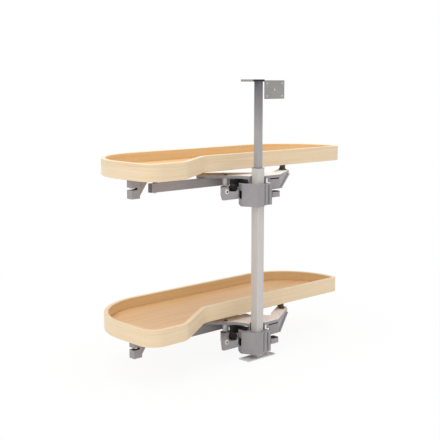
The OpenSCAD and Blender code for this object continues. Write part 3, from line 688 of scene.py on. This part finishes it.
def tray_rim(tier, tray_z):
    """The bent rim: a band along the middle of its thickness."""
    node = tier + "_rim"
    path = bpy.data.curves.new(node + "_path", "CURVE")
    path.dimensions = "3D"
    points = tray_outline(RIM_T / 2)
    line = path.splines.new("POLY")
    line.points.add(len(points) - 1)
    for point, (x, y) in zip(line.points, points):
        point.co = (x, y, tray_z + RIM_H / 2, 1)
    line.use_cyclic_u = True
    source = bpy.data.objects.new(node + "_path", path)
    bpy.context.collection.objects.link(source)
    values = {"Thickness": RIM_T, "Height": RIM_H, "Finish": RIM_WOOD}
    piece = finish_piece(grown(node + "_band", source, BAND, values), node, RIM_EDGE_R, 3)

    def on_inner_wall(face):
        upright = abs(face.normal.z) < TURNED_AWAY
        return upright and inside(points, face.center.x, face.center.y)

    # The inner wall takes the warmer plywood as painted bounce light
    second_finish(piece, RIM_INSIDE, on_inner_wall)


def tray_floor(tier, tray_z):
    """The floor board inside the rim."""
    node = tier + "_floor"
    bm = bmesh.new()
    outline = tray_outline(RIM_T + FLOOR_FIT)
    low = [bm.verts.new((x, y, tray_z)) for x, y in outline]
    high = [bm.verts.new((x, y, tray_z + FLOOR_T)) for x, y in outline]
    bm.faces.new(low[::-1])
    bm.faces.new(high)
    for i in range(len(outline)):
        j = (i + 1) % len(outline)
        bm.faces.new([low[i], low[j], high[j], high[i]])
    finish_piece(piece_from(node + "_board", bm), node, FLOOR_EDGE_R, 1)


def rounded_square(width, radius):
    """Corner points of a square with round corners, anticlockwise."""
    reach = width / 2 - radius
    corners = [(1, 1, 0), (-1, 1, 90), (-1, -1, 180), (1, -1, 270)]
    points = []
    for sx, sy, start in corners:
        points += arc(sx * reach, sy * reach, radius, start, start + 90, 15)
    return points


def square_tube(node, width, ends):
    """Drawn tube with round corners, open at both ends."""
    bm = bmesh.new()
    outer = rounded_square(width, TUBE_CORNER_R)
    inner = rounded_square(width - 2 * TUBE_WALL, BORE_CORNER_R)
    low_z, high_z = ends
    loops = [
        [bm.verts.new((x, y, z)) for x, y in outline]
        for outline, z in [(outer, low_z), (outer, high_z), (inner, high_z), (inner, low_z)]
    ]
    count = len(outer)
    for loop, following in zip(loops, loops[1:] + loops[:1]):
        for i in range(count):
            j = (i + 1) % count
            bm.faces.new([loop[i], loop[j], following[j], following[i]])
    finish_piece(piece_from(node + "_drawn", bm), node)


def screw_profile(head_r, head_h, shank_r, shank_l, socket_r, socket_depth):
    """Half section of a screw whose head stands on the plane of height 0.

    The head falls off from the flat about its socket to its upright side.
    """
    floor = head_h - socket_depth
    return [
        (0, floor),
        (socket_r, floor),
        (socket_r, head_h),
        (socket_r + 0.3 * (head_r - socket_r), head_h),
        (head_r - 0.15 * head_h, head_h * 0.85),
        (head_r, head_h * 0.4),
        (head_r, 0),
        (shank_r, 0),
        (shank_r, -shank_l),
        (0, -shank_l),
    ]


def repeated(node, places, part):
    """One part at each place, given in millimetres, as one mesh."""
    mesh = bpy.data.meshes.new(node + "_places")
    mesh.from_pydata([(x * MM, y * MM, 0) for x, y in places], [], [])
    source = bpy.data.objects.new(node + "_places", mesh)
    bpy.context.collection.objects.link(source)
    values = {"Part": part, "Finish": OWN_FINISH.get(node, FINISH[SLOT_OF[node]])}
    piece = grown(node + "_set", source, REPEAT, values)
    bpy.data.objects.remove(part)
    return piece


def spacers(tier, tray_z):
    """Turned spacers with a wide foot on the plate and chamfered edges."""
    node = tier + "_spacers"
    bm = bmesh.new()
    low = tray_z - PLATE_DROP
    step = low + SPACER_FOOT_H
    foot, neck = SPACER_FOOT_D / 2, SPACER_D / 2
    bore = SCREW_D / 2 + SCREW_FIT
    profile = [
        (bore, low),
        (foot, low),
        (foot, step - SPACER_EDGE),
        (foot - SPACER_EDGE, step),
        (neck, step),
        (neck, tray_z - SPACER_EDGE),
        (neck - SPACER_EDGE, tray_z),
        (bore, tray_z),
        (bore, low),
    ]
    lathe(bm, profile, sides=32)
    bmesh.ops.remove_doubles(bm, verts=bm.verts, dist=SAME_POINT)
    part = piece_from("spacer_part", bm)
    finish_piece(repeated(node, SPACER_PLACES, part), node)


def plate_screws(node, places, shank_d, shank_l, tray_z):
    """Screws with their heads, twice as wide as the shank, on top of the carrier plate."""
    bm = bmesh.new()
    head_r = shank_d
    socket = (head_r * SOCKET_WIDTH_SHARE, HEAD_H * SOCKET_DEPTH_SHARE)
    profile = screw_profile(head_r, HEAD_H, shank_d / 2, shank_l, *socket)
    lathe(bm, profile, sides=24)
    bmesh.ops.translate(bm, vec=(0, 0, tray_z - PLATE_DROP), verts=bm.verts)
    part = piece_from("screw_part", bm)
    finish_piece(repeated(node, places, part), node)


def housing_screw(tier):
    """The bright ring screw in the ear of the soft close housing, whose socket is dark with
    painted shade.
    """
    node = tier + "_housing_screw"
    low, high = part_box(node)
    head_r = (high[0] - low[0]) / 2
    middle = ((low[0] + high[0]) / 2, low[1] + RING_HEAD_H, (low[2] + high[2]) / 2)
    bm = bmesh.new()
    shank_l = high[1] - middle[1]
    socket = (RING_SOCKET_R, RING_SOCKET_DEPTH)
    profile = screw_profile(head_r, RING_HEAD_H, SCREW_D / 2, shank_l, *socket)
    lathe(bm, profile)
    facing_front(bm, middle)
    piece = finish_piece(piece_from(node + "_turned", bm), node)

    def in_socket(face):
        from_axis = math.hypot(face.center.x - middle[0], face.center.z - middle[2])
        return from_axis < RING_SOCKET_R and face.center.y < middle[1]

    # Painted shade: the faces in the socket take the dark finish
    second_finish(piece, DARK_ZINC_AND_SOCKET_SHADE, in_socket)


def damper(tier):
    """The round damper: a rounded rim, a ring groove and a small cap in its middle."""
    node = tier + "_damper"
    low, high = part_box(node)
    r = (high[0] - low[0]) / 2
    length = high[1] - low[1]
    back = ((low[0] + high[0]) / 2, high[1], (low[2] + high[2]) / 2)
    groove = length - 1.2 * MM
    cap = length - 0.2 * MM
    bm = bmesh.new()
    profile = [
        (0, 0),
        (r, 0),
        (r, length - 2 * MM),
        (r - 0.6 * MM, length - 1.2 * MM),
        (r - 1.6 * MM, length),
        (r * 0.62, length),
        (r * 0.58, groove),
        (r * 0.46, groove),
        (r * 0.42, cap),
        (0, cap),
    ]
    lathe(bm, profile)
    facing_front(bm, back)
    finish_piece(piece_from(node + "_turned", bm), node)


def catch_pin(tier, tray_z):
    """The turned pin under the carrier plate, with a chamfer above its thin tip."""
    node = tier + "_catch_pin"
    place = [v * MM for v in PIN_PLACE]
    bm = bmesh.new()
    top, shoulder, end = (tray_z - drop for drop in (PIN_TOP, PIN_SHOULDER, PIN_END))
    profile = [
        (0, top),
        (PIN_R, top),
        (PIN_R, shoulder + 1 * MM),
        (PIN_R - 1 * MM, shoulder),
        (PIN_TIP_R, shoulder),
        (PIN_TIP_R, end + 0.8 * MM),
        (PIN_TIP_R - 0.8 * MM, end),
        (0, end),
    ]
    lathe(bm, profile, place)
    finish_piece(piece_from(node + "_turned", bm), node)


# Nodes that need soft edges and nothing more
SOFT_ON_POST = ["base_plate", "post_bush"]
SOFT_ON_TIER = [
    "stop_bumper",
    "housing",
    "bearing_block",
    "turning_collar",
    "gusset",
    "gusset_strip",
    "rail",
    "rail_plugs",
]

for part in SOFT_ON_POST:
    softened(part)
square_tube("post_outer_tube", OUTER_TUBE_W, OUTER_TUBE_Z)
square_tube("post_inner_tube", INNER_TUBE_W, INNER_TUBE_Z)
top_plates()

for tier, tray_z in TIERS.items():
    tray_rim(tier, tray_z)
    tray_floor(tier, tray_z)
    carrier_plate(tier)
    hub(tier, tray_z)
    lobe_bracket(tier, tray_z)
    spacers(tier, tray_z)
    plate_screws(tier + "_pin_screw", [PIN_PLACE], PIN_SCREW_D, PIN_SCREW_L, tray_z)
    plate_screws(tier + "_rail_screws", RAIL_SCREW_PLACES, SCREW_D, RAIL_SCREW_L, tray_z)
    housing_screw(tier)
    damper(tier)
    catch_pin(tier, tray_z)
    for part in SOFT_ON_TIER:
        softened(f"{tier}_{part}")

# The CAD nodes get their finish too: it shows on those that keep their mesh
for node, thing in frame["nodes"].items():
    for slot in thing.material_slots:
        slot.material = OWN_FINISH.get(node, FINISH[SLOT_OF[node]])


# ---- stage: floor, light, camera ----

# Light of the white surroundings
AMBIENT = 0.74
# Lamp powers in watts, and the place that all lamps point at
KEY_POWER = 17
TOP_POWER = 38
FILL_POWER = 2
MIDDLE = (0, 0.1, 0.4)
# Half width of the floor, and the gap that keeps it off the underside of the base plate
FLOOR_REACH = 8
FLOOR_GAP = 0.5 * MM
# Share of plain white in the floor below the object, and where it starts and ends to fade
# into the white background
FLOOR_WHITE = 0.92
FADE_START = 0.5
FADE_END = 1.4
# Camera that sees the object as the photograph does: lens in millimetres, angles in degrees
CAMERA_PLACE = (-1.7734, -1.7281, 0.7688)
CAMERA_LENS = 74.64
CAMERA_TILT_DOWN = 8.7503
CAMERA_TURN = -43.3452


def seen_directly(tree):
    """1 for what the camera, mirrors and glass see, 0 for what lights the object."""
    rays = add(tree, "ShaderNodeLightPath").outputs
    seen = rays["Is Camera Ray"]
    for other in ("Is Glossy Ray", "Is Transmission Ray"):
        seen = add(
            tree, "ShaderNodeMath", {0: seen, 1: rays[other]}, operation="MAXIMUM"
        ).outputs[0]
    return seen


floor_mesh = bpy.data.meshes.new("studio_floor")
floor_corners = [(-1, -1), (1, -1), (1, 1), (-1, 1)]
floor_mesh.from_pydata(
    [(x * FLOOR_REACH, y * FLOOR_REACH, 0) for x, y in floor_corners], [], [(0, 1, 2, 3)]
)
floor = bpy.data.objects.new("studio_floor", floor_mesh)
floor.location.z = -FLOOR_GAP
bpy.context.collection.objects.link(floor)
# Pale paint that fades into the white background away from the object
floor_paint, floor_tree, floor_shader = new_material("pale_floor_paint", 0.9)
floor_shader.inputs["Base Color"].default_value = linear("#F4F4F4")
floor_place = add(floor_tree, "ShaderNodeTexCoord").outputs["Object"]
away = add(floor_tree, "ShaderNodeVectorMath", {0: floor_place}, operation="LENGTH")
fade = add(
    floor_tree,
    "ShaderNodeMapRange",
    {
        "Value": away.outputs["Value"],
        "From Min": FADE_START,
        "From Max": FADE_END,
        "To Min": FLOOR_WHITE,
        "To Max": 1.0,
    },
)
floor_share = add(
    floor_tree,
    "ShaderNodeMath",
    {0: fade.outputs[0], 1: seen_directly(floor_tree)},
    operation="MULTIPLY",
)
floor_glow = add(floor_tree, "ShaderNodeEmission", {"Color": (1, 1, 1, 1), "Strength": 1.0})
floor_mix = add(
    floor_tree,
    "ShaderNodeMixShader",
    {0: floor_share.outputs[0], 1: floor_shader.outputs[0], 2: floor_glow.outputs[0]},
)
floor_tree.links.new(
    floor_mix.outputs[0], floor_tree.nodes["Material Output"].inputs["Surface"]
)
floor_mesh.materials.append(floor_paint)

world = bpy.data.worlds.new("studio")
bpy.context.scene.world = world
world.use_nodes = True
sky = world.node_tree
sky.nodes.clear()
strength = add(sky, "ShaderNodeMix", {0: seen_directly(sky), 2: AMBIENT, 3: 1.0})
background = add(
    sky, "ShaderNodeBackground", {"Color": (1, 1, 1, 1), "Strength": strength.outputs[0]}
)
add(sky, "ShaderNodeOutputWorld", {"Surface": background.outputs[0]})


def soft_box(name, place, target, size, power):
    """A square lamp that points at a place on the object."""
    lamp = bpy.data.lights.new(name, "AREA")
    lamp.energy = power
    lamp.size = size
    holder = bpy.data.objects.new(name, lamp)
    bpy.context.collection.objects.link(holder)
    holder.location = place
    direction = Vector(target) - Vector(place)
    holder.rotation_euler = direction.to_track_quat("-Z", "Y").to_euler()


soft_box("key_left", (-2.6, -0.5, 2.4), MIDDLE, 1.8, KEY_POWER)
soft_box("top", (-0.2, 0.2, 3.0), MIDDLE, 2.4, TOP_POWER)
soft_box("fill_front", (-0.6, -2.8, 1.8), MIDDLE, 2.4, FILL_POWER)

camera_data = bpy.data.cameras.new("photo_view")
camera_data.sensor_width = 36
camera_data.lens = CAMERA_LENS
camera_data.clip_end = 50
camera = bpy.data.objects.new("photo_view", camera_data)
camera.location = CAMERA_PLACE
camera.rotation_euler = (math.radians(90 - CAMERA_TILT_DOWN), 0, math.radians(CAMERA_TURN))
bpy.context.collection.objects.link(camera)
bpy.context.scene.camera = camera
bpy.context.scene.view_settings.view_transform = "Standard"
